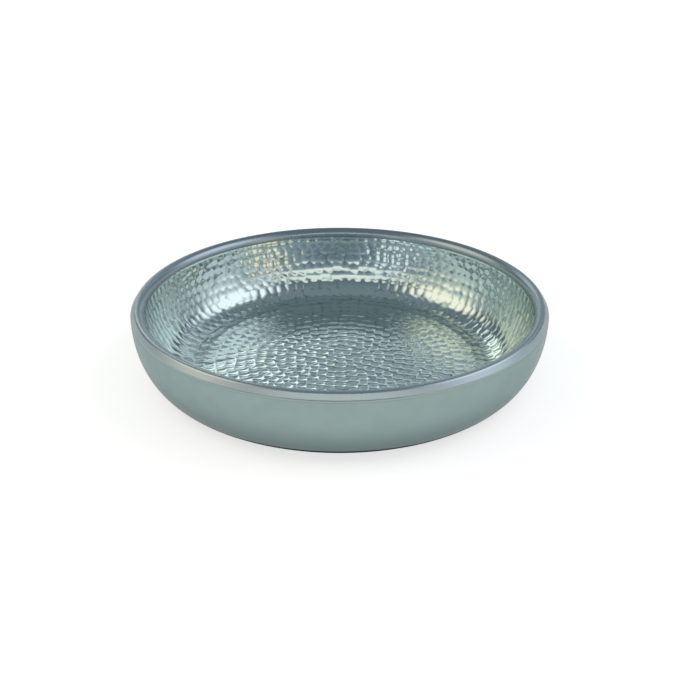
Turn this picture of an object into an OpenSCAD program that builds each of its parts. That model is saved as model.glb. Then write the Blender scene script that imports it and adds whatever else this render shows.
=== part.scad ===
// Round double-walled serving tray. A hammered bowl hangs by its flange inside a
// smooth outer shell, and a rolled band caps the seam of the two sheets.
// Millimetres, +Z up. The origin is on the table, under the middle of the tray.

/* [Tray] */
// Diameter over the rim band
tray_d = 356; // [320:1:460]
// Height from the table to the top of the rim band
tray_h = 66; // [55:1:110]

/* [Outer shell] */
// Thickness of the shell's sheet
shell_t = 0.8; // [0.5:0.1:1.2]
// Diameter of the base, where the wall starts to rise from the table
base_d = 286; // [240:1:310]
// Width of the flat ring that stands on the table
foot_w = 14; // [8:1:30]
// Height of the panel that is pressed up inside the standing ring
panel_rise = 2; // [1.5:0.5:4]

/* [Inner bowl] */
// Thickness of the bowl's sheet
bowl_t = 0.8; // [0.5:0.1:1.2]
// Height of the bowl's floor above the table
floor_h = 5.5; // [5.5:0.5:20]
// Radius of the bend from the floor to the wall
corner_r = 30; // [15:1:36]
// Slope of the wall where it leaves that bend, in degrees
foot_slope = 60; // [50:1:66]
// Slope of the wall at its top, in degrees
top_slope = 78; // [72:1:84]

/* [Rim band] */
// Width of the band
rim_w = 12; // [10:0.5:18]
// Thickness of the band's sheet
rim_t = 0.8; // [0.5:0.1:1.2]
// Gap between the band and the sheets that it covers
rim_gap = 0.1; // [0.05:0.05:0.3]
// Distance of the band's crest inside its outer leg
crest_in = 5; // [4:0.5:7]
// Height of the outer shoulder, from the outer leg up to the crest
shoulder_h = 6; // [4:0.5:8]

/* [Seam under the band] */
// Height of the straight collar of each sheet behind a leg of the band
collar_h = 0.6; // [0.5:0.1:3]
// Outside radius of the bends of the lip and the flange
bend_r = 1.5; // [1.3:0.1:2.2]
// Overlap of the bowl's flange on the shell's lip
seam_lap = 5; // [3:0.5:6]
// Thickness of the seal between the flange and the lip
seal_t = 0.4; // [0.2:0.1:0.8]
// Distance of the seal's edges inside the overlap
seal_inset = 0.5; // [0.2:0.1:0.8]

/* [Vent] */
// Diameter of the vent hole in the middle of the panel
vent_d = 6; // [4:0.5:10]
// Reach of the plug's head past the edge of the hole
plug_head_w = 4; // [2:0.5:8]
// Height of the plug's head above the table
plug_clear = 0.8; // [0.4:0.1:1.2]
// Reach of the plug's barb past the edge of the hole
plug_barb_w = 1.2; // [1:0.1:3]
// Height of the plug's barb above the panel
plug_barb_h = 1.5; // [1:0.1:4]
// Gap between the plug's neck and the hole
plug_gap = 0.1; // [0.05:0.05:0.2]

/* [Hidden] */
$fn = 180;
// Straight stretches in a wall's curve and in a bend
wall_steps = 24;
bend_steps = 12;

// Outer and inner radius of the band, and how far the sheets step back behind its legs
rim_r = tray_d / 2;
mouth_r = rim_r - rim_w;
step = rim_t + rim_gap;

// The band's crest, and the radius of the round inner shoulder that falls from it to the inner leg
crest_r = rim_r - crest_in;
shoulder_r = rim_w - crest_in;

// The bowl's flange bends out where the inner shoulder starts, and lies on the seal and the shell's lip
knee = [mouth_r + step + bend_r, tray_h - shoulder_r];
flange_z = knee[1] + bend_r;
lip_z = flange_z - bowl_t - seal_t;
seam_r = rim_r - rim_w / 2;

// The collars' feet, where the legs of the band end
shell_foot_z = lip_z - bend_r - collar_h;
bowl_foot_z = knee[1] - collar_h;

base_r = base_d / 2;
foot_r = base_r - foot_w;
vent_r = vent_d / 2;

// Points of an oval bend about a centre, from one angle to another
function bend(centre, reach_r, reach_z, from, to, steps = bend_steps) = [
    for (i = [0:steps])
        let (a = from + (to - from) * i / steps)
            centre + [reach_r * cos(a), reach_z * sin(a)]
];

// A path without its first point, to follow one that ends there
function without_first(path) = [for (i = [1:len(path) - 1]) path[i]];

// Points of the bowl's wall from the floor up: a close bend that leaves the floor level, and a
// wide one that takes what is left of the height and leans less and less
function bowl_wall(bottom_z, top_r, top_z) =
    let (
        rise = top_z - bottom_z - corner_r * (1 - cos(foot_slope)),
        wide_r = rise / (cos(foot_slope) - cos(top_slope)),
        foot_r = top_r - corner_r * sin(foot_slope) - wide_r * (sin(top_slope) - sin(foot_slope)),
        middle = [top_r - wide_r * sin(top_slope), top_z + wide_r * cos(top_slope)]
    )
    concat(
        bend([foot_r, bottom_z + corner_r], corner_r, corner_r, -90, foot_slope - 90),
        without_first(bend(middle, wide_r, wide_r, foot_slope - 90, top_slope - 90))
    );

function unit(v) = v / norm(v);
function left_of(v) = [-v[1], v[0]];
function reversed(path) = [for (i = [len(path) - 1:-1:0]) path[i]];

// The path moved sideways, to its left where the distance is positive
function shifted(path, distance) =
    let (
        last = len(path) - 1,
        sides = [for (i = [0:last - 1]) left_of(unit(path[i + 1] - path[i]))]
    )
    [
        for (i = [0:last])
            let (before = sides[max(i - 1, 0)], after = sides[min(i, last - 1)])
                path[i] + distance * (before + after) / (1 + before * after)
    ];

// A sheet spun about Z: the path is its section's visible face, and the sheet's
// thickness lies to the left of the path, or to the right where it is negative
module spun_sheet(path, thickness) {
    rotate_extrude()
        polygon(concat(path, reversed(shifted(path, thickness))));
}

// Outer face of the shell, from the vent hole out along the base, up the wall, which
// is flush with the band, back a step, up the collar and in along the lip. The wall is
// a quarter of an oval that leaves the table level and ends upright.
module outer_shell() {
    shell_r = rim_r - step;
    wall_top = shell_foot_z - step;
    face = concat(
        [[vent_r, panel_rise], [foot_r - panel_rise, panel_rise], [foot_r, 0]],
        bend([base_r, wall_top], rim_r - base_r, wall_top, -90, 0, wall_steps),
        [[shell_r, shell_foot_z]],
        bend([shell_r - bend_r, lip_z - bend_r], bend_r, bend_r, 0, 90),
        [[seam_r - seam_lap / 2, lip_z]]
    );
    color("#8FA1A0") spun_sheet(face, shell_t);
}

// Upper face of the bowl, from the middle of the floor out, up the wall, which is flush
// with the band, back a step, up the collar and out along the flange
module inner_bowl() {
    face = concat(
        [[0, floor_h]],
        bowl_wall(floor_h, mouth_r, bowl_foot_z - step),
        [[mouth_r + step, bowl_foot_z]],
        bend(knee, bend_r, bend_r, 180, 90),
        [[seam_r + seam_lap / 2, flange_z]]
    );
    color("#D4DFDC") spun_sheet(face, -bowl_t);
}

// Outer face of the band: up the inner leg, over the round inner shoulder and the crest,
// and down the steeper outer shoulder and the outer leg
module rim_band() {
    face = concat(
        [[mouth_r, bowl_foot_z]],
        bend([crest_r, tray_h - shoulder_r], shoulder_r, shoulder_r, 180, 90),
        without_first(bend([crest_r, tray_h - shoulder_h], crest_in, shoulder_h, 90, 0)),
        [[rim_r, shell_foot_z]]
    );
    color("#BEC6CC") spun_sheet(face, -rim_t);
}

// Flat ring pressed between the shell's lip and the bowl's flange
module rim_seal() {
    width = seam_lap - 2 * seal_inset;
    color("#4A4E50")
        rotate_extrude()
            translate([seam_r - width / 2, lip_z])
                square([width, seal_t]);
}

// Soft plug of the vent hole: a head under the panel, a neck in the hole and a
// tapered barb that rests on the panel
module vent_plug() {
    neck_r = vent_r - plug_gap;
    seat_z = panel_rise + shell_t;
    color("#5A5E60")
        rotate_extrude()
            polygon([
                [0, plug_clear],
                [vent_r + plug_head_w, plug_clear],
                [vent_r + plug_head_w, panel_rise],
                [neck_r, panel_rise],
                [neck_r, seat_z],
                [vent_r + plug_barb_w, seat_z],
                [neck_r, seat_z + plug_barb_h],
                [0, seat_z + plug_barb_h]
            ]);
}

outer_shell();
inner_bowl();
rim_band();
rim_seal();
vent_plug();
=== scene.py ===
"""Studio scene of a round, double-walled, hammered steel serving tray.

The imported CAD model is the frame, in metres with +Z up. Each piece of the tray is worked out here as a
surface of revolution with its own detail, and stands for the CAD node of the same name. Sizes in the
classes are millimetres, and a mesh is turned to metres when it is made.
"""

import logging
import math
from dataclasses import dataclass, field
from enum import Enum

import bpy
import numpy as np
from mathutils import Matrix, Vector

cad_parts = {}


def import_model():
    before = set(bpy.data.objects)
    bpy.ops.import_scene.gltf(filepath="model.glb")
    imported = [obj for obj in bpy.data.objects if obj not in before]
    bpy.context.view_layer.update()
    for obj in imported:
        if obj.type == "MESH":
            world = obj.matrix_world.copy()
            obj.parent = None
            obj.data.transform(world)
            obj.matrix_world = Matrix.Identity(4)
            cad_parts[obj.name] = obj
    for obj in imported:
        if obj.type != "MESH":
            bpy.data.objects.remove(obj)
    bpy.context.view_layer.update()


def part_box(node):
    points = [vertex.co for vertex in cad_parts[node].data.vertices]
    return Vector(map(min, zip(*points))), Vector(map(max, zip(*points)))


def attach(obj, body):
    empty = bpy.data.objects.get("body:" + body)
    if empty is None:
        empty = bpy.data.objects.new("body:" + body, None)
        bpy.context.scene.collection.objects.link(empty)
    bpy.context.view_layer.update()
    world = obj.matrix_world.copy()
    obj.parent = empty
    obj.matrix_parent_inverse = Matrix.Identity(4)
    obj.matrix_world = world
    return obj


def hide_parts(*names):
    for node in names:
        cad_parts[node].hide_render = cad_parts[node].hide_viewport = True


LOG = logging.getLogger("tray")
MM = 0.001
FULL_TURN = 2.0 * math.pi

# Points closer than this are one point, and faces that meet at a greater angle keep a sharp edge
SAME_POINT_MM = 1e-6
SHARP_DEGREES = 50.0

# Range that most of a noise texture lies in
NOISE_LOW, NOISE_HIGH = 0.3, 0.7


class Slot(Enum):
    """Names of material slots, which the script doesn't use."""

    SATIN = "satin_steel"
    HAMMERED = "hammered_steel"
    POLISHED = "polished_steel"
    SILICONE = "silicone"


class MixKind(Enum):
    """Kinds of mix node: the data type, the places of the two inputs and the place of the output."""

    NUMBER = ("FLOAT", 2, 3, 0)
    COLOUR = ("RGBA", 6, 7, 2)


# Section lines: arrays of points, each a radius and a height in millimetres


def two_arcs(top: tuple[float, float], bottom_z: float, corner_r: float, lower: float, upper: float,
             steps: int) -> np.ndarray:
    """A bowl's wall: a close arc that leaves the floor level, and a wide one that leans less and less.

    Each arc's rise is its radius times the drop of the slope's cosine, and its run outwards is its radius
    times the gain of the slope's sine. The wide arc's radius is what is left of the height.

    Args:
        top: Radius and height where the wall ends.
        bottom_z: Height of the floor.
        corner_r: Radius of the close arc.
        lower: Slope where the two arcs meet, in degrees.
        upper: Slope at the top, in degrees.
        steps: Number of stretches in each arc.

    Returns:
        Points from the floor to the top, one a row.
    """
    low, high = math.radians(lower), math.radians(upper)
    rise = top[1] - bottom_z - corner_r * (1.0 - math.cos(low))
    wide_r = rise / (math.cos(low) - math.cos(high))
    foot_r = top[0] - corner_r * math.sin(low) - wide_r * (math.sin(high) - math.sin(low))
    close = bend((foot_r, bottom_z + corner_r), (corner_r, corner_r), -90.0, lower - 90.0, steps)
    middle = (top[0] - wide_r * math.sin(high), top[1] + wide_r * math.cos(high))
    return joined(close, bend(middle, (wide_r, wide_r), lower - 90.0, upper - 90.0, steps))


def bend(centre: tuple[float, float], reach: tuple[float, float], start: float, stop: float,
         steps: int) -> np.ndarray:
    """Part of an oval about a centre, from one angle to another in degrees.

    Args:
        centre: Radius and height of the oval's centre.
        reach: Half widths of the oval, along the radius and along the height.
        start: First angle, from the outward direction towards up.
        stop: Last angle.
        steps: Number of stretches.

    Returns:
        Points along the bend, one a row.
    """
    angle = np.radians(np.linspace(start, stop, steps + 1))
    return np.asarray(centre) + np.column_stack([reach[0] * np.cos(angle), reach[1] * np.sin(angle)])


def joined(*lines: np.ndarray) -> np.ndarray:
    """One line from several that follow each other, without doubled points.

    Args:
        lines: Lines or lists of points, end to start.

    Returns:
        The points of the whole line.
    """
    points = np.vstack([np.asarray(line, float).reshape(-1, 2) for line in lines])
    step = np.linalg.norm(np.diff(points, axis=0), axis=1)
    return points[np.append(True, step > SAME_POINT_MM)]


def normals(line: np.ndarray) -> np.ndarray:
    """Unit directions to the left of a line, at each of its points.

    The direction at a point is the mean of the left-hand sides of the two stretches that meet there.

    Args:
        line: Points along the line.

    Returns:
        One direction for each point.
    """
    stretch = np.diff(line, axis=0)
    stretch /= np.linalg.norm(stretch, axis=1, keepdims=True)
    side = np.column_stack([-stretch[:, 1], stretch[:, 0]])
    mean = np.vstack([side[:1], side]) + np.vstack([side, side[-1:]])
    return mean / np.linalg.norm(mean, axis=1, keepdims=True)


def run_along(line: np.ndarray) -> np.ndarray:
    """Length of a line of points up to each of them, from 0."""
    return np.append(0.0, np.cumsum(np.linalg.norm(np.diff(line, axis=0), axis=1)))


def resampled(line: np.ndarray, step: float) -> np.ndarray:
    """The line with points at even distances along it.

    Args:
        line: Points along the line.
        step: Wanted distance between points.

    Returns:
        The new points, with both ends kept.
    """
    run = run_along(line)
    even = np.linspace(0.0, run[-1], max(2, round(run[-1] / step) + 1))
    return np.column_stack([np.interp(even, run, line[:, 0]), np.interp(even, run, line[:, 1])])


def sheet_loop(face: np.ndarray, thickness: float, edge_steps: int = 6) -> np.ndarray:
    """Closed section of a sheet: one face, a round edge, the other face and the second round edge.

    The other face is the first one moved to its right by the thickness, and each edge is a half circle
    over the sheet's thickness that ends level with the face's own end.

    Args:
        face: Points along the sheet's outer face, with the sheet on its right.
        thickness: The sheet's thickness.
        edge_steps: Number of stretches in a round edge, or 1 for a square one.

    Returns:
        Points round the section, clockwise, not repeated at the end.
    """
    half = thickness / 2.0
    trim = half if edge_steps > 1 else 0.0
    run = run_along(face)
    inset = np.clip(run, trim, run[-1] - trim)
    face = np.column_stack([np.interp(inset, run, face[:, 0]), np.interp(inset, run, face[:, 1])])
    face = joined(face)
    side = normals(face)
    back = face - thickness * side
    turn = np.radians(np.linspace(0.0, 180.0, edge_steps + 1))[1:-1, None]
    end_way = np.array([side[-1][1], -side[-1][0]])
    start_way = np.array([-side[0][1], side[0][0]])
    end = face[-1] - half * side[-1] + half * (np.cos(turn) * side[-1] + np.sin(turn) * end_way)
    start = face[0] - half * side[0] + half * (-np.cos(turn) * side[0] + np.sin(turn) * start_way)
    return joined(face, end, back[::-1], start)


# Surfaces: rows of points round the axis, and the faces between them


def ring(radius: float | np.ndarray, height: float | np.ndarray, angle: np.ndarray) -> np.ndarray:
    """Points round the axis.

    Args:
        radius: Distance from the axis, one value or one for each angle.
        height: Height, one value or one for each angle.
        angle: Angles round the axis, in radians.

    Returns:
        Points as rows of x, y and z.
    """
    radius = np.broadcast_to(radius, angle.shape)
    height = np.broadcast_to(height, angle.shape)
    return np.column_stack([radius * np.cos(angle), radius * np.sin(angle), height])


def angles(count: int) -> np.ndarray:
    """Even angles of a full turn, from 0."""
    return np.arange(count) * (FULL_TURN / count)


def faces_between(first: int, here: int, second: int, there: int) -> list[np.ndarray]:
    """Faces that join one ring of points to the next.

    Rings of equal counts are joined by quads, and a single point and a ring by a fan. Rings of other
    counts are joined by triangles: the points of both are taken in order of their share of the turn, and
    each one closes a triangle with the last point of either ring before it.

    Args:
        first: Index of the first ring's first point.
        here: Number of points in the first ring.
        second: Index of the second ring's first point.
        there: Number of points in the second ring.

    Returns:
        Arrays of corner indices, one face a row.
    """
    a, b = np.arange(here), np.arange(there)
    if here == 1:
        return [np.column_stack([np.full(there, first), second + b, second + (b + 1) % there])]
    if there == 1:
        return [np.column_stack([first + a, np.full(here, second), first + (a + 1) % here])]
    if here == there:
        after = (a + 1) % here
        return [np.column_stack([first + a, second + a, second + after, first + after])]
    across_a = np.minimum(np.rint((a + 0.5) / here * there), there).astype(int)
    across_b = np.minimum(np.ceil((b + 0.5) / there * here - 0.5), here).astype(int)
    from_a = np.column_stack([first + a, second + across_a % there, first + (a + 1) % here])
    from_b = np.column_stack([first + across_b % here, second + b, second + (b + 1) % there])
    return [from_a, from_b]


@dataclass
class Surface:
    """Rings of points in order, the faces between them, and the run along the section at each ring.

    A hammered surface also has the share of a mark's full depth at each point.
    """

    rings: list[np.ndarray]
    runs: list[float]
    closed: bool = False
    hollow: list[np.ndarray] | None = None

    def made(self, name: str) -> bpy.types.Object:
        """Puts the surface in the scene as a mesh object in metres, smooth shaded.

        Args:
            name: Name of the piece.

        Returns:
            The new object, at the origin.
        """
        counts = [len(points) for points in self.rings]
        starts = np.append(0, np.cumsum(counts))
        pairs = list(zip(range(len(counts) - 1), range(1, len(counts))))
        if self.closed:
            pairs.append((len(counts) - 1, 0))
        faces = []
        for i, j in pairs:
            for block in faces_between(int(starts[i]), counts[i], int(starts[j]), counts[j]):
                faces.extend(block.tolist())
        mesh = bpy.data.meshes.new(name)
        mesh.from_pydata((np.vstack(self.rings) * MM).tolist(), [], faces)
        mesh.polygons.foreach_set("use_smooth", np.ones(len(mesh.polygons), bool))
        run = mesh.attributes.new("run_mm", "FLOAT", "POINT")
        run.data.foreach_set("value", np.repeat(np.asarray(self.runs, np.float32), counts))
        if self.hollow:
            share = mesh.attributes.new("hollow", "FLOAT", "POINT")
            share.data.foreach_set("value", np.concatenate(self.hollow).astype(np.float32))
        mesh.set_sharp_from_angle(angle=math.radians(SHARP_DEGREES))
        mesh.update()
        piece = bpy.data.objects.new(name, mesh)
        bpy.context.scene.collection.objects.link(piece)
        return piece


def spun(section: np.ndarray, count: int, wave: "Wave | None" = None) -> Surface:
    """A closed section spun round the axis.

    Each point of the section becomes a ring of that radius and height, moved along the section's own
    normal by the wave where there is one.

    Args:
        section: Points round the section, clockwise, not repeated at the end.
        count: Points in each ring.
        wave: Unevenness of the surface.

    Returns:
        The surface, closed both ways.
    """
    closed = np.vstack([section, section[:1]])
    runs = run_along(closed)[:-1]
    side = normals(np.vstack([section[-1:], closed]))[1:-1]
    turn = angles(count)
    rings = []
    for point, way, run in zip(section, side, runs):
        lift = wave.at(run, turn) if wave else np.zeros(count)
        rings.append(ring(point[0] + lift * way[0], point[1] + lift * way[1], turn))
    return Surface(rings, list(runs), closed=True)


@dataclass(frozen=True)
class Wave:
    """Slight unevenness of a spun sheet: a sum of low waves round the turn and along the run.

    Each wave is a cosine of a whole number of turns plus a steady change of phase along the run, so it
    closes on itself.
    """

    height: float
    turns: tuple[int, ...]
    run_length: float
    seed: int

    def at(self, run: float, turn: np.ndarray) -> np.ndarray:
        """Height of the waves at one run and several angles, in millimetres."""
        draw = np.random.default_rng(self.seed)
        total = np.zeros_like(turn)
        for count in self.turns:
            phase, slope = draw.uniform(0.0, FULL_TURN), draw.uniform(-1.0, 1.0)
            total += np.cos(count * turn + phase + slope * FULL_TURN * run / self.run_length)
        return total * self.height / len(self.turns)


# Sub-assemblies


@dataclass
class TraySizes:
    """Sizes that the pieces share, in millimetres.

    They are the CAD model's, but for the outer leg's height: the seam lies closer under the shoulder.
    """

    rim_r: float
    top_z: float
    floor_z: float
    rim_w: float = 12.0
    sheet: float = 0.8
    rim_gap: float = 0.1
    crest_in: float = 5.0
    shoulder_h: float = 6.0
    leg_h: float = 0.8
    collar_h: float = 0.6
    bend_r: float = 1.5
    seam_lap: float = 5.0
    seal_t: float = 0.4
    base_r: float = 143.0
    foot_w: float = 14.0
    panel_rise: float = 2.0
    vent_r: float = 3.0

    @classmethod
    def from_frame(cls) -> "TraySizes":
        """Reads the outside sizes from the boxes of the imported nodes."""
        _, band_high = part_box("rim_band")
        bowl_low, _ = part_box("inner_bowl")
        return cls(
            rim_r=round(band_high.x / MM, 1),
            top_z=round(band_high.z / MM, 2),
            floor_z=round(bowl_low.z / MM + cls.sheet, 2),
        )

    @property
    def step(self) -> float:
        """How far the sheets step back behind the band's legs."""
        return self.sheet + self.rim_gap

    @property
    def mouth_r(self) -> float:
        """Radius inside the band's inner leg."""
        return self.rim_r - self.rim_w

    @property
    def crest_r(self) -> float:
        """Radius of the band's crest."""
        return self.rim_r - self.crest_in

    @property
    def shoulder_r(self) -> float:
        """Radius of the round inner shoulder, from the crest to the inner leg."""
        return self.rim_w - self.crest_in

    @property
    def knee(self) -> tuple[float, float]:
        """Centre of the bend from the bowl's collar to its flange."""
        return self.mouth_r + self.step + self.bend_r, self.top_z - self.shoulder_r

    @property
    def flange_z(self) -> float:
        """Height of the top of the bowl's flange."""
        return self.knee[1] + self.bend_r

    @property
    def lip_z(self) -> float:
        """Height of the shell's lip, under the seal and the flange."""
        return self.flange_z - self.sheet - self.seal_t

    @property
    def seam_r(self) -> float:
        """Radius of the middle of the overlap of flange and lip."""
        return self.rim_r - self.rim_w / 2.0

    @property
    def shell_foot_z(self) -> float:
        """Height where the shell's wall is upright."""
        return self.lip_z - self.bend_r - self.collar_h

    @property
    def seam_z(self) -> float:
        """Height of the fine seam between the band's outer leg and the shell."""
        return self.top_z - self.shoulder_h - self.leg_h

    @property
    def bowl_foot_z(self) -> float:
        """Height where the band's inner leg ends."""
        return self.knee[1] - self.collar_h


@dataclass
class HammerMarks:
    """Hammer marks in staggered rings, each a shallow bowl that cuts into its neighbours.

    A mark's depth falls off with the square of the distance from its centre, and the deepest mark at a
    point wins, so that sharp ridges stand where marks meet. The hammer also flattens the bend of the sheet
    to a facet for each ring, which lies along the sheet's tangent at the ring.

    The pitches lie between rings, and the spacing between the marks of a ring. Wander is a share of the
    pitch and of the spacing, twist a share of the spacing, and uneven a share of the depth.
    """

    pitch: float = 9.0
    wall_pitch: float = 8.5
    spacing: float = 9.0
    reach: float = 6.2
    depth: float = 0.68
    facet_limit: float = 0.4
    wander: float = 0.09
    uneven: float = 0.2
    twist: float = 0.1
    search_rows: float = 1.5
    seed: int = 7
    facet: np.ndarray = field(init=False)
    ring_run: np.ndarray = field(init=False)
    ring_r: np.ndarray = field(init=False)
    counts: np.ndarray = field(init=False)
    starts: np.ndarray = field(init=False)
    turn_shift: np.ndarray = field(init=False)
    run_wander: np.ndarray = field(init=False)
    side_wander: np.ndarray = field(init=False)
    strength: np.ndarray = field(init=False)

    def lay_out(self, run: np.ndarray, line: np.ndarray, last_run: float) -> None:
        """Places the rings along a section line, closer on the wall than on the floor.

        Args:
            run: Running length at points of the section.
            line: Those points.
            last_run: Run of the last ring.
        """
        floor_end = run[np.argmax(line[:, 1] > line[0, 1] + SAME_POINT_MM)]
        wall_rows = math.ceil((last_run - floor_end) / self.wall_pitch)
        wall_run = last_run - self.wall_pitch * np.arange(wall_rows)[::-1]
        floor_rows = round(wall_run[0] / self.pitch)
        self.ring_run = np.append(np.linspace(0.0, wall_run[0], floor_rows, endpoint=False), wall_run)
        self.ring_r = np.interp(self.ring_run, run, line[:, 0])
        self.facet = self.facet_depth(run, line)
        self.counts = np.maximum(1, np.rint(FULL_TURN * self.ring_r / self.spacing)).astype(int)
        self.starts = np.append(0, np.cumsum(self.counts))[:-1]
        total, rows = int(self.counts.sum()), len(self.counts)
        draw = np.random.default_rng(self.seed)
        half_steps = 0.5 * (np.arange(rows) % 2)
        self.turn_shift = half_steps + draw.uniform(-self.twist, self.twist, rows)
        self.run_wander = draw.normal(0.0, self.wander * self.pitch, total)
        self.side_wander = draw.normal(0.0, self.wander, total)
        self.strength = 1.0 + draw.uniform(-self.uneven, self.uneven, total)

    def facet_depth(self, run: np.ndarray, line: np.ndarray) -> np.ndarray:
        """Depth of the flat facets below the bend of the sheet, at each point of the section.

        A point's distance from a ring's tangent is its offset from the ring along the normal there. The
        nearest tangent wins, so that the facets meet in creases halfway between rings.

        Args:
            run: Running length at points of the section.
            line: Those points.

        Returns:
            One depth for each point.
        """
        side = normals(line)
        centre = np.column_stack([np.interp(self.ring_run, run, line[:, i]) for i in (0, 1)])
        way = np.column_stack([np.interp(self.ring_run, run, side[:, i]) for i in (0, 1)])
        offset = np.einsum("pri,ri->pr", line[:, None, :] - centre[None, :, :], way)
        return np.clip(offset.min(axis=1), 0.0, self.facet_limit)

    def depth_at(self, run: float, radius: float, turn: np.ndarray) -> np.ndarray:
        """Depth of the marks along one ring of points.

        Only the nearest rows of marks, and the three nearest marks of each, are looked at.

        Args:
            run: Running length of the ring along the section.
            radius: Radius of the ring.
            turn: Angles of its points.

        Returns:
            Depth below the plain sheet at each point.
        """
        deepest = np.zeros_like(turn)
        for row in np.flatnonzero(np.abs(self.ring_run - run) < self.search_rows * self.pitch):
            count = self.counts[row]
            place = turn * count / FULL_TURN - self.turn_shift[row]
            for step in (-1, 0, 1):
                mark = np.rint(place).astype(int) + step
                index = self.starts[row] + mark % count
                apart = (place - mark - self.side_wander[index]) * FULL_TURN / count
                across = 2.0 * math.sqrt(radius * self.ring_r[row]) * np.sin(apart / 2.0)
                along = run - self.ring_run[row] - self.run_wander[index]
                share = 1.0 - (across**2 + along**2) / self.reach**2
                deepest = np.maximum(deepest, self.depth * self.strength[index] * share)
        return deepest


@dataclass
class InnerBowl:
    """The hammered liner: floor, curved wall, and the collar and flange under the rim band.

    The top strip of the wall lies above the centres of the last ring of marks, and has no painted ridge
    shade.
    """

    sizes: TraySizes
    marks: HammerMarks = field(default_factory=HammerMarks)
    corner_r: float = 30.0
    foot_slope: float = 60.0
    top_slope: float = 78.0
    top_strip: float = 4.5
    ring_step: float = 1.2
    back_step: float = 6.0
    back_drop: float = 0.3
    back_count: int = 144
    count_step: int = 48
    wall_steps: int = 100
    bend_steps: int = 6

    def face(self) -> tuple[np.ndarray, np.ndarray]:
        """Upper face of the sheet, in two stretches.

        Returns:
            The line from the middle of the floor to the top of the wall, which is flush with the band,
            and the line from there back a step, up the collar and out along the flange.
        """
        s = self.sizes
        top = (s.mouth_r, s.bowl_foot_z - s.step)
        wall = two_arcs(top, s.floor_z, self.corner_r, self.foot_slope, self.top_slope, self.wall_steps)
        bowl = resampled(joined([[0.0, s.floor_z]], wall), self.ring_step)
        collar = joined(
            [[s.mouth_r + s.step, s.bowl_foot_z]],
            bend(s.knee, (s.bend_r, s.bend_r), 180.0, 90.0, self.bend_steps),
            [[s.seam_r + s.seam_lap / 2.0, s.flange_z]],
        )
        return bowl, collar

    def ring_count(self, radius: float) -> int:
        """Points in a ring, in steps, so that they stay about as close as the rings."""
        wanted = FULL_TURN * radius / self.ring_step
        return self.count_step * max(1, round(wanted / self.count_step))

    def surface(self) -> Surface:
        """The whole sheet: hammered upper face, collar and flange, and the smooth back.

        The back lies a sheet's thickness under the face as it was before the hammer, and a little lower
        under the marks, which push it out. That drop fades to nothing over the top strip.

        Returns:
            The closed surface, from the middle of the floor out and back under it.
        """
        bowl, collar = self.face()
        whole = joined(bowl, collar)
        run, side = run_along(whole), normals(whole)
        top_run = run[len(bowl) - 1]
        strip_run = top_run - self.top_strip
        self.marks.lay_out(run, whole, strip_run)
        self.marks.facet[len(bowl):] = 0.0
        middle = self.marks.depth_at(0.0, 0.0, np.zeros(1))
        rings = [np.array([[0.0, 0.0, bowl[0][1] - middle[0]]])]
        hollow = [middle / self.marks.depth]
        for point, way, length, flat in zip(whole[1:], side[1:], run[1:], self.marks.facet[1:]):
            turn = angles(self.ring_count(point[0]))
            mark = self.marks.depth_at(length, point[0], turn)
            deep = flat + mark
            rings.append(ring(point[0] - deep * way[0], point[1] - deep * way[1], turn))
            hollow.append(mark / self.marks.depth if length < strip_run else np.ones_like(turn))
        drop = self.back_drop * np.clip((top_run - run) / self.top_strip, 0.0, 1.0)
        under = whole - (self.sizes.sheet + drop)[:, None] * side
        back = joined(under[len(bowl):][::-1], resampled(under[:len(bowl)][::-1], self.back_step))
        for point in back[:-1]:
            rings.append(ring(point[0], point[1], angles(self.back_count)))
        rings.append(np.array([[0.0, 0.0, back[-1][1]]]))
        hollow.extend(np.ones(len(points)) for points in rings[len(hollow):])
        return Surface(rings, list(run) + list(run[-1] + run_along(back)), hollow=hollow)

    def build(self) -> bpy.types.Object:
        """Makes the piece that stands for the CAD bowl."""
        return self.surface().made("hammered_bowl")


@dataclass
class OuterShell:
    """The satin casing: pressed base, standing ring, curved wall, collar and lip.

    A fine groove is left between the top of the wall and the band's outer leg.
    """

    sizes: TraySizes
    count: int = 360
    groove: float = 0.12
    panel_step: float = 4.0
    foot_step: float = 2.0
    wall_steps: int = 72
    wave: Wave = Wave(height=0.02, turns=(7, 11, 16, 23), run_length=260.0, seed=3)

    def face(self) -> np.ndarray:
        """Outer face, from the lip down the wall and in along the base to the vent hole.

        Returns:
            Points along the face, with the sheet on its right.
        """
        s = self.sizes
        foot_r = s.base_r - s.foot_w
        wall_top = s.shell_foot_z
        panel = np.array([[s.vent_r, s.panel_rise], [foot_r - s.panel_rise, s.panel_rise]])
        foot = np.array([[foot_r, 0.0], [s.base_r, 0.0]])
        outwards = joined(
            resampled(panel, self.panel_step),
            resampled(foot, self.foot_step),
            bend((s.base_r, wall_top), (s.rim_r - s.base_r, wall_top), -90.0, 0.0, self.wall_steps),
            [[s.rim_r, s.seam_z - self.groove]],
            [[s.rim_r - s.step, s.lip_z]],
            [[s.seam_r - s.seam_lap / 2.0, s.lip_z]],
        )
        return outwards[::-1]

    def build(self) -> bpy.types.Object:
        """Makes the piece that stands for the CAD shell."""
        section = sheet_loop(self.face(), self.sizes.sheet)
        return spun(section, self.count, self.wave).made("satin_shell")


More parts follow.
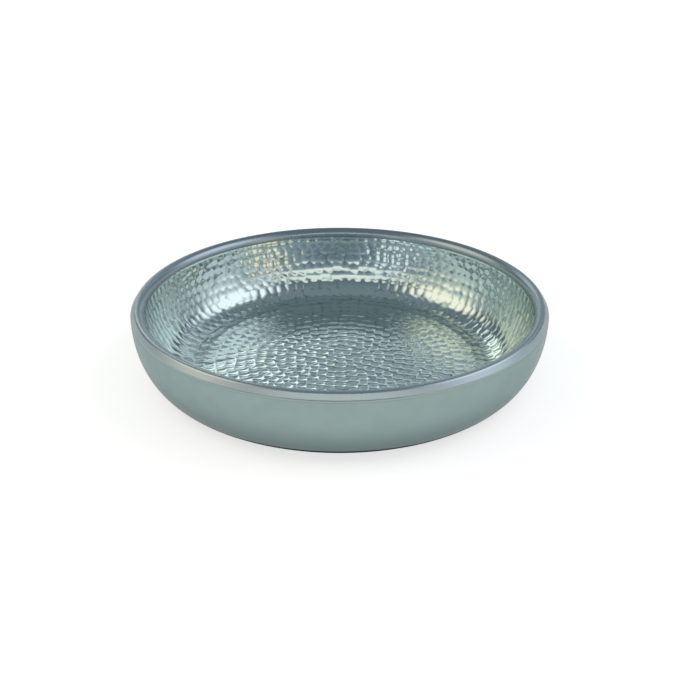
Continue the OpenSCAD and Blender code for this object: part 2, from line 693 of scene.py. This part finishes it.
@dataclass
class RimBand:
    """The polished hoop over the seam: a round inner shoulder, and an outer one with a sloping flat."""

    sizes: TraySizes
    flat_slope: float = 56.0
    flat_length: float = 4.2
    count: int = 512
    straight_step: float = 0.4
    inner_steps: int = 30
    upper_steps: int = 14
    lower_steps: int = 10
    wave: Wave = Wave(height=0.012, turns=(5, 9, 14), run_length=60.0, seed=5)

    def outer_shoulder(self) -> np.ndarray:
        """The outer shoulder's line, from the crest down to the outer leg: a round, a flat and a round.

        A round goes out by its radius times the gain of the slope's sine, and down by its radius times the
        drop of the slope's cosine. The two radii fill what the flat leaves of the shoulder's reach and
        height.

        Returns:
            Points along the shoulder.
        """
        s = self.sizes
        slope = math.radians(self.flat_slope)
        sine, cosine = math.sin(slope), math.cos(slope)
        left = [s.crest_in - self.flat_length * cosine, s.shoulder_h - self.flat_length * sine]
        upper_r, lower_r = np.linalg.solve([[sine, 1.0 - sine], [1.0 - cosine, cosine]], left)
        turn = 90.0 - self.flat_slope
        upper_middle = (s.crest_r, s.top_z - upper_r)
        lower_middle = (s.rim_r - lower_r, s.top_z - s.shoulder_h)
        upper = bend(upper_middle, (upper_r, upper_r), 90.0, turn, self.upper_steps)
        lower = bend(lower_middle, (lower_r, lower_r), turn, 0.0, self.lower_steps)
        return joined(upper, resampled(np.vstack([upper[-1], lower[0]]), self.straight_step), lower)

    def build(self) -> bpy.types.Object:
        """Makes the piece that stands for the CAD band."""
        s = self.sizes
        middle = (s.crest_r, s.top_z - s.shoulder_r)
        inner = bend(middle, (s.shoulder_r, s.shoulder_r), 180.0, 90.0, self.inner_steps)
        outer = self.outer_shoulder()
        face = joined(
            resampled(np.array([[s.mouth_r, s.bowl_foot_z], inner[0]]), self.straight_step),
            inner,
            outer,
            resampled(np.array([outer[-1], [s.rim_r, s.seam_z]]), self.straight_step),
        )
        return spun(sheet_loop(face, s.sheet, edge_steps=1), self.count, self.wave).made("polished_band")


@dataclass
class RimSeal:
    """The gasket pressed between the shell's lip and the bowl's flange."""

    sizes: TraySizes
    inset: float = 0.5
    count: int = 192
    straight_step: float = 0.4

    def build(self) -> bpy.types.Object:
        """Makes the piece that stands for the CAD seal: a flat ring with round edges."""
        s = self.sizes
        top = s.lip_z + s.seal_t
        half = s.seam_lap / 2.0 - self.inset
        face = np.array([[s.seam_r - half, top], [s.seam_r + half, top]])
        section = sheet_loop(resampled(face, self.straight_step), s.seal_t)
        return spun(section, self.count).made("gasket_ring")


@dataclass
class VentPlug:
    """The soft plug of the vent hole: a head with a pull dimple, a neck and a tapered barb."""

    sizes: TraySizes
    head_w: float = 4.0
    clear: float = 0.8
    barb_w: float = 1.2
    barb_h: float = 1.5
    gap: float = 0.1
    round_r: float = 0.5
    barb_slant: float = 30.0
    dimple_r: float = 2.5
    dimple_h: float = 0.4
    dimple_inset: float = 0.02
    bend_steps: int = 4
    dimple_steps: int = 8
    count: int = 96

    def build(self) -> bpy.types.Object:
        """Makes the piece that stands for the CAD plug, with rounded corners and a pull dimple."""
        s = self.sizes
        neck_r = s.vent_r - self.gap
        head_r = s.vent_r + self.head_w
        seat_z = s.panel_rise + s.sheet
        top_z = seat_z + self.barb_h
        barb_r = s.vent_r + self.barb_w
        wide, small = self.round_r, self.round_r / 2.0
        steps, slant = self.bend_steps, self.barb_slant
        dimple_z = self.clear + self.dimple_inset
        line = joined(
            [[0.0, top_z]],
            bend((neck_r - wide, top_z - wide), (wide, wide), 90.0, slant, steps),
            bend((barb_r - small, seat_z + small), (small, small), slant, -90.0, steps),
            [[neck_r, seat_z], [neck_r, s.panel_rise]],
            bend((head_r - small, s.panel_rise - small), (small, small), 90.0, 0.0, steps),
            bend((head_r - wide, self.clear + wide), (wide, wide), 0.0, -90.0, steps),
            bend((0.0, dimple_z), (self.dimple_r, self.dimple_h), 0.0, 90.0, self.dimple_steps),
        )
        rings = [ring(radius, height, angles(self.count)) for radius, height in line[1:-1]]
        rings = [np.array([[0.0, 0.0, line[0][1]]]), *rings, np.array([[0.0, 0.0, line[-1][1]]])]
        return Surface(rings, list(run_along(line))).made("silicone_plug")


# Finishes


def linear(hex_colour: str) -> tuple[float, float, float, float]:
    """A colour written as sRGB hex, as the linear values that a shader takes.

    Args:
        hex_colour: Six hex digits after a number sign.

    Returns:
        Red, green, blue and an alpha of 1.
    """
    parts = [int(hex_colour[i:i + 2], 16) / 255.0 for i in (1, 3, 5)]
    values = [c / 12.92 if c <= 0.04045 else ((c + 0.055) / 1.055) ** 2.4 for c in parts]
    return values[0], values[1], values[2], 1.0


def add_node(tree: bpy.types.NodeTree, kind: str, settings: dict | None = None,
             inputs: dict | None = None) -> bpy.types.Node:
    """Adds a node with its settings and inputs.

    Args:
        tree: Node tree that takes the node.
        kind: Blender's name of the node type.
        settings: Properties of the node to set.
        inputs: Values for its inputs, by name or number, or sockets to link to them.

    Returns:
        The new node.
    """
    node = tree.nodes.new(kind)
    for name, value in (settings or {}).items():
        setattr(node, name, value)
    for name, value in (inputs or {}).items():
        if isinstance(value, bpy.types.NodeSocket):
            tree.links.new(value, node.inputs[name])
        else:
            node.inputs[name].default_value = value
    return node


def new_material(name: str) -> tuple[bpy.types.Material, bpy.types.NodeTree]:
    """An empty node material of that name, and its node tree."""
    material = bpy.data.materials.new(name)
    material.use_nodes = True
    material.node_tree.nodes.clear()
    return material, material.node_tree


def noise(tree: bpy.types.NodeTree, place: bpy.types.NodeSocket, size_mm: float, detail: float,
          roughness: float = 0.5) -> bpy.types.NodeSocket:
    """Adds a noise texture with spots of a real size.

    Args:
        tree: Node tree that takes the node.
        place: Object coordinates, in metres.
        size_mm: Size of the spots.
        detail: Number of finer layers.
        roughness: Share of each finer layer.

    Returns:
        The texture's value.
    """
    node = add_node(tree, "ShaderNodeTexNoise", inputs={
        "Vector": place, "Scale": 1.0 / (size_mm * MM), "Detail": detail, "Roughness": roughness})
    return node.outputs["Fac"]


def mixed(tree: bpy.types.NodeTree, kind: MixKind, share: bpy.types.NodeSocket, first: object,
          second: object) -> bpy.types.NodeSocket:
    """Adds a mix of two numbers or two colours.

    Args:
        tree: Node tree that takes the node.
        kind: Whether numbers or colours are mixed.
        share: Share of the second one.
        first: A value or socket.
        second: A value or socket.

    Returns:
        The mix.
    """
    data_type, first_place, second_place, result = kind.value
    node = add_node(tree, "ShaderNodeMix", {"data_type": data_type}, {
        "Factor": share, first_place: first, second_place: second})
    return node.outputs[result]


def faded(tree: bpy.types.NodeTree, value: bpy.types.NodeSocket, start: float, stop: float,
          before: float = 0.0, after: float = 1.0) -> bpy.types.NodeSocket:
    """Adds a smooth change from one level to another while a value goes from start to stop.

    Args:
        tree: Node tree that takes the node.
        value: The value.
        start: Where the change starts.
        stop: Where it ends.
        before: Level up to the start.
        after: Level from the stop on.

    Returns:
        The level.
    """
    node = add_node(tree, "ShaderNodeMapRange", {"interpolation_type": "SMOOTHSTEP"}, {
        "Value": value, "From Min": start, "From Max": stop, "To Min": before, "To Max": after})
    return node.outputs["Result"]


@dataclass(frozen=True)
class EdgeTone:
    """A tone that a finish turns to past a run along the section, over a width in millimetres. Some are
    painted shade or a painted highlight.

    Grazing is the tint of what the steel mirrors where it is seen at a slant.
    """

    colour: str
    roughness: float
    start: float
    width: float
    grazing: str = "#FFFFFF"


@dataclass(frozen=True)
class RidgeShade:
    """Painted shade along the ridges where hammer marks meet.

    It keeps its share up to one part of a mark's full depth, and is gone from another part on.
    """

    colour: str
    share: float = 0.4
    full_depth: float = 0.22
    gone_depth: float = 0.48


@dataclass(frozen=True)
class SteelFinish:
    """Stainless steel with a worked surface.

    Steel keeps the cool grey of its colour. Slow blotches of a second tone and of roughness show that it
    was worked and wiped, fine grain blurs what it mirrors, and streaks follow the way it was polished.
    Edges take tones of their own, some of them painted shade or a painted highlight, and the ridges
    between hammer marks take painted shade. Grazing tints what the steel mirrors at a slant.
    """

    name: str
    colour: str
    tone: str
    roughness: float
    rough_range: float
    blotch_mm: float
    grain_mm: float
    grain_depth: float
    streak_mm: tuple[float, float, float]
    streak_depth: float
    grazing: str = "#FFFFFF"
    edges: tuple[EdgeTone, ...] = ()
    ridges: RidgeShade | None = None

    def made(self) -> bpy.types.Material:
        """Builds the node material: blotched colour and roughness, and a bump of grain and streaks."""
        material, tree = new_material(self.name)
        place = add_node(tree, "ShaderNodeTexCoord").outputs["Object"]
        blotch = noise(tree, place, self.blotch_mm, detail=3.0, roughness=0.55)
        colour = mixed(tree, MixKind.COLOUR, blotch, linear(self.colour), linear(self.tone))
        roughness = add_node(tree, "ShaderNodeMapRange", inputs={
            "Value": blotch, "From Min": NOISE_LOW, "From Max": NOISE_HIGH,
            "To Min": self.roughness - self.rough_range,
            "To Max": self.roughness + self.rough_range}).outputs["Result"]
        grazing = linear(self.grazing)
        if self.edges:
            run = add_node(tree, "ShaderNodeAttribute", {"attribute_name": "run_mm"}).outputs["Fac"]
        for edge in self.edges:
            share = faded(tree, run, edge.start, edge.start + edge.width)
            colour = mixed(tree, MixKind.COLOUR, share, colour, linear(edge.colour))
            roughness = mixed(tree, MixKind.NUMBER, share, roughness, edge.roughness)
            grazing = mixed(tree, MixKind.COLOUR, share, grazing, linear(edge.grazing))
        # Painted shade darkens the ridges where hammer marks meet, and fades out towards each mark's
        # deepest part
        if self.ridges:
            tone = self.ridges
            depth = add_node(tree, "ShaderNodeAttribute", {"attribute_name": "hollow"}).outputs["Fac"]
            share = faded(tree, depth, tone.full_depth, tone.gone_depth, before=tone.share, after=0.0)
            colour = mixed(tree, MixKind.COLOUR, share, colour, linear(tone.colour))
        stretch = add_node(tree, "ShaderNodeMapping", inputs={
            "Vector": place, "Scale": [1.0 / (size * MM) for size in self.streak_mm]})
        streak = add_node(tree, "ShaderNodeTexNoise", inputs={
            "Vector": stretch.outputs["Vector"], "Scale": 1.0, "Detail": 2.0})
        streaks = add_node(tree, "ShaderNodeBump", inputs={
            "Strength": 1.0, "Distance": self.streak_depth * MM, "Height": streak.outputs["Fac"]})
        bump = add_node(tree, "ShaderNodeBump", inputs={
            "Strength": 1.0, "Distance": self.grain_depth * MM,
            "Height": noise(tree, place, self.grain_mm, detail=2.0), "Normal": streaks.outputs["Normal"]})
        shader = add_node(tree, "ShaderNodeBsdfPrincipled", inputs={
            "Base Color": colour, "Metallic": 1.0, "Roughness": roughness,
            "Specular Tint": grazing, "Normal": bump.outputs["Normal"]})
        add_node(tree, "ShaderNodeOutputMaterial", inputs={"Surface": shader.outputs["BSDF"]})
        return material


@dataclass(frozen=True)
class SiliconeFinish:
    """Moulded silicone: matt, faintly mottled and slightly grainy from its mould."""

    name: str = "moulded_silicone"
    colour: str = "#4C5153"
    tone: str = "#565B5D"
    roughness: float = 0.55
    mottle_mm: float = 3.0
    grain_mm: float = 0.35
    grain_depth: float = 0.03
    ior: float = 1.41

    def made(self) -> bpy.types.Material:
        """Builds the node material: two near greys and a fine bump."""
        material, tree = new_material(self.name)
        place = add_node(tree, "ShaderNodeTexCoord").outputs["Object"]
        mottle = noise(tree, place, self.mottle_mm, detail=2.0)
        colour = mixed(tree, MixKind.COLOUR, mottle, linear(self.colour), linear(self.tone))
        bump = add_node(tree, "ShaderNodeBump", inputs={
            "Strength": 1.0, "Distance": self.grain_depth * MM,
            "Height": noise(tree, place, self.grain_mm, detail=1.0)})
        shader = add_node(tree, "ShaderNodeBsdfPrincipled", inputs={
            "Base Color": colour, "Roughness": self.roughness, "IOR": self.ior,
            "Normal": bump.outputs["Normal"]})
        add_node(tree, "ShaderNodeOutputMaterial", inputs={"Surface": shader.outputs["BSDF"]})
        return material


# Bright, almost mirror-like steel: each mark shows a small picture of the room, with painted shade along
# the ridges between marks
HAMMERED = SteelFinish(
    name="hammered_stainless", colour="#D8E2DE", tone="#D0DCD9", roughness=0.10, rough_range=0.02,
    blotch_mm=45.0, grain_mm=1.2, grain_depth=0.012, streak_mm=(2.0, 2.0, 2.0), streak_depth=0.01,
    ridges=RidgeShade(colour="#7C8A8E"))

# Even grey-green satin steel. Painted shade darkens it down the wall to a painted dark line at the foot,
# and it is plain satin again under the base
SATIN = SteelFinish(
    name="satin_stainless", colour="#94A6A5", tone="#8A9D9C", roughness=0.34, rough_range=0.03,
    blotch_mm=14.0, grain_mm=0.6, grain_depth=0.01, streak_mm=(6.0, 6.0, 60.0), streak_depth=0.05,
    grazing="#E0E4E4",
    edges=(
        # Painted shade: darker down the wall, for the shadowed floor that the lower wall mirrors
        EdgeTone(colour="#748584", roughness=0.36, start=24.0, width=36.0, grazing="#E0E4E4"),
        # Painted shade: a dark line where the wall turns under at the foot, also dimmed at a slant
        EdgeTone(colour="#3E4A47", roughness=0.4, start=59.5, width=5.0, grazing="#606868"),
        EdgeTone(colour="#82928F", roughness=0.38, start=71.0, width=9.0, grazing="#E0E4E4"),
    ))

# Softly polished steel, blue-grey on the inner shoulder. From the crest out a brighter tone paints a
# highlight, which the outer shoulder dims at a slant, and the leg is near the shell's satin
POLISHED = SteelFinish(
    name="polished_stainless", colour="#AEB7BD", tone="#A6B0B6", roughness=0.28, rough_range=0.03,
    blotch_mm=25.0, grain_mm=0.8, grain_depth=0.004, streak_mm=(12.0, 12.0, 12.0), streak_depth=0.02,
    edges=(
        # Painted highlight: a brighter tone from the crest out, dimmed at a slant on the outer shoulder so
        # that it shows at the front
        EdgeTone(colour="#BFC7CB", roughness=0.27, start=10.8, width=1.6),
        EdgeTone(colour="#BFC7CB", roughness=0.27, start=12.4, width=2.0, grazing="#B6BBBB"),
        EdgeTone(colour="#96A6A3", roughness=0.34, start=18.3, width=1.2, grazing="#D4D8D8"),
    ))


# Studio


@dataclass(frozen=True)
class SoftPanel:
    """A soft bright patch of the room, even in its middle and faded at its edge.

    The azimuth runs from straight behind the tray round to the right, and the elevation from level up.
    Both are degrees, as are the half width and the half height. A negative strength takes light away.
    """

    name: str
    azimuth: float
    elevation: float
    half_width: float
    half_height: float
    strength: float
    colour: str = "#FFFFFF"
    fade: float = 0.6

    def glow(self, tree: bpy.types.NodeTree, way: bpy.types.NodeSocket) -> bpy.types.NodeSocket:
        """Adds the nodes of the panel's light.

        The direction is turned so that the panel's middle lies along Z, and divided by the panel's half
        sizes. Its distance from Z then is 1 at the panel's edge, and the light fades about there.

        Args:
            tree: The world's node tree.
            way: Direction that is looked in.

        Returns:
            The panel's light in that direction.
        """
        turn, lift = math.radians(self.azimuth), math.radians(self.elevation)
        middle = Vector((math.sin(turn) * math.cos(lift), math.cos(turn) * math.cos(lift), math.sin(lift)))
        spread = (math.sin(math.radians(self.half_width)), math.sin(math.radians(self.half_height)), 1.0)
        turned = add_node(tree, "ShaderNodeMapping", {"vector_type": "TEXTURE", "label": self.name}, {
            "Vector": way, "Rotation": middle.to_track_quat("Z", "Y").to_euler(), "Scale": spread})
        parts = add_node(tree, "ShaderNodeSeparateXYZ", inputs={"Vector": turned.outputs["Vector"]})
        across = add_node(tree, "ShaderNodeCombineXYZ", inputs={
            "X": parts.outputs["X"], "Y": parts.outputs["Y"]})
        apart = add_node(tree, "ShaderNodeVectorMath", {"operation": "LENGTH"}, {
            0: across.outputs["Vector"]})
        light = faded(tree, apart.outputs["Value"], 1.0 - self.fade, 1.0 + self.fade,
                      before=self.strength, after=0.0)
        ahead = add_node(tree, "ShaderNodeMath", {"operation": "GREATER_THAN"}, {
            0: parts.outputs["Z"], 1: 0.0})
        lit = add_node(tree, "ShaderNodeMath", {"operation": "MULTIPLY"}, {
            0: light, 1: ahead.outputs["Value"]})
        tinted = add_node(tree, "ShaderNodeVectorMath", {"operation": "SCALE"}, {
            0: linear(self.colour)[:3], "Scale": lit.outputs["Value"]})
        return tinted.outputs["Vector"]


@dataclass
class Studio:
    """Pale floor, a dim room with soft panels, and the camera at the photograph's view."""

    floor_colour: str = "#FCF3EF"
    floor_size: float = 16.0
    floor_drop: float = 0.0003
    camera_pitch: float = 25.863
    camera_distance: float = 0.8655
    focus_px: float = 980.9
    frame_px: float = 680.0
    sensor_mm: float = 36.0
    target: tuple[float, float, float] = (0.00027, 0.0, 0.02239)
    room_colour: str = "#5B6E78"
    floor_glow: float = 0.62
    panels: tuple[SoftPanel, ...] = (
        SoftPanel("left box", -90.0, 40.0, 24.0, 20.0, 1.12, "#FFF4DA", 0.45),
        SoftPanel("right box", 88.0, 40.0, 26.0, 20.0, 1.18, "#F6F9FF", 0.45),
        SoftPanel("left horizon", -90.0, 7.0, 35.0, 12.0, 0.45, "#F4FFF0", 0.6),
        SoftPanel("right horizon", 90.0, 7.0, 35.0, 12.0, 0.5, "#F4FDFF", 0.6),
        SoftPanel("front strip", 180.0, 40.0, 48.0, 7.5, 0.8, "#FFFDF0", 0.35),
        SoftPanel("front fill", 180.0, 15.0, 55.0, 22.0, 0.27, "#E6F4FF", 0.5),
        SoftPanel("camera stand", 180.0, 16.0, 24.0, 10.0, -0.2, "#E6F4FF", 0.7),
        SoftPanel("left lamp", -146.0, 17.0, 6.0, 6.0, 0.8, "#FFFDF4", 0.5),
        SoftPanel("warm lamp", 133.0, 15.0, 8.0, 7.0, 0.85, "#FFE0A0", 0.4),
        SoftPanel("back left window", -20.5, 28.0, 15.0, 5.5, 1.25, "#F7FFF4", 0.4),
        SoftPanel("back strip", 18.0, 30.0, 24.0, 4.5, 0.54, "#ECF6FA", 0.5),
        SoftPanel("back horizon", 0.0, 8.0, 60.0, 9.0, 0.55, "#F4FAF4", 0.5),
        SoftPanel("back top", 20.0, 41.0, 30.0, 4.0, 0.28, "#E4F2FF", 0.5),
        SoftPanel("ceiling", 0.0, 85.0, 40.0, 40.0, 0.12, "#F4F8FF", 0.7),
    )

    def set_floor(self) -> None:
        """Lays a wide white floor under the tray.

        Its paint takes the room's light and the tray's shadow. A glow lifts it to the white of the
        background. The eye, glass and mirrors such as the steel see it, and matt surfaces don't.
        """
        half, z = self.floor_size / 2.0, -self.floor_drop
        corners = [(-half, -half, z), (half, -half, z), (half, half, z), (-half, half, z)]
        mesh = bpy.data.meshes.new("floor")
        mesh.from_pydata(corners, [], [(0, 1, 2, 3)])
        floor = bpy.data.objects.new("floor", mesh)
        bpy.context.scene.collection.objects.link(floor)
        material, tree = new_material("pale_floor")
        paint = add_node(tree, "ShaderNodeBsdfDiffuse", inputs={"Color": linear(self.floor_colour)})
        path = add_node(tree, "ShaderNodeLightPath")
        seen = path.outputs["Is Camera Ray"]
        for kind in ("Is Glossy Ray", "Is Transmission Ray"):
            either = add_node(tree, "ShaderNodeMath", {"operation": "MAXIMUM"}, {
                0: seen, 1: path.outputs[kind]})
            seen = either.outputs["Value"]
        level = add_node(tree, "ShaderNodeMath", {"operation": "MULTIPLY"}, {0: seen, 1: self.floor_glow})
        glow = add_node(tree, "ShaderNodeEmission", inputs={"Strength": level.outputs["Value"]})
        white = add_node(tree, "ShaderNodeAddShader", inputs={
            0: paint.outputs["BSDF"], 1: glow.outputs["Emission"]})
        add_node(tree, "ShaderNodeOutputMaterial", inputs={"Surface": white.outputs["Shader"]})
        mesh.materials.append(material)

    def set_room(self) -> None:
        """Surrounds the tray with a dim room and its bright panels."""
        world = bpy.data.worlds.new("room")
        world.use_nodes = True
        tree = world.node_tree
        tree.nodes.clear()
        way = add_node(tree, "ShaderNodeTexCoord").outputs["Generated"]
        light = linear(self.room_colour)[:3]
        for panel in self.panels:
            total = add_node(tree, "ShaderNodeVectorMath", {"operation": "ADD"}, {
                0: light, 1: panel.glow(tree, way)})
            light = total.outputs["Vector"]
        glow = add_node(tree, "ShaderNodeBackground", inputs={"Color": light, "Strength": 1.0})
        add_node(tree, "ShaderNodeOutputWorld", inputs={"Surface": glow.outputs["Background"]})
        bpy.context.scene.world = world

    def set_camera(self) -> None:
        """Puts the camera where the photograph was taken from, as fitted to the tray's outline."""
        camera = bpy.data.cameras.new("camera")
        camera.sensor_width = self.sensor_mm
        camera.lens = self.focus_px / self.frame_px * self.sensor_mm
        holder = bpy.data.objects.new("camera", camera)
        pitch = math.radians(self.camera_pitch)
        back = Vector((0.0, -math.cos(pitch), math.sin(pitch)))
        holder.location = Vector(self.target) + back * self.camera_distance
        holder.rotation_euler = back.to_track_quat("Z", "Y").to_euler()
        bpy.context.scene.collection.objects.link(holder)
        bpy.context.scene.camera = holder

    def build(self) -> None:
        """Sets the floor, room and camera, and plain colour handling."""
        self.set_floor()
        self.set_room()
        self.set_camera()
        bpy.context.scene.view_settings.view_transform = "Standard"


def dress(piece: bpy.types.Object, node: str, material: bpy.types.Material) -> None:
    """Gives a piece its finish and says which CAD node it stands for.

    Args:
        piece: The new piece.
        node: CAD node that it replaces.
        material: Its finish.
    """
    piece.data.materials.append(material)
    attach(piece, "root")
    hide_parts(node)
    LOG.info("%s stands for %s with %d faces", piece.name, node, len(piece.data.polygons))


def main() -> None:
    """Loads the frame, builds and dresses the tray, and sets the studio."""
    logging.basicConfig(level=logging.INFO, format="%(name)s: %(message)s")
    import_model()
    sizes = TraySizes.from_frame()
    hammered, satin, polished = HAMMERED.made(), SATIN.made(), POLISHED.made()
    silicone = SiliconeFinish().made()
    dress(InnerBowl(sizes).build(), "inner_bowl", hammered)
    dress(OuterShell(sizes).build(), "outer_shell", satin)
    dress(RimBand(sizes).build(), "rim_band", polished)
    dress(RimSeal(sizes).build(), "rim_seal", silicone)
    dress(VentPlug(sizes).build(), "vent_plug", silicone)
    Studio().build()


if __name__ == "__main__":
    main()
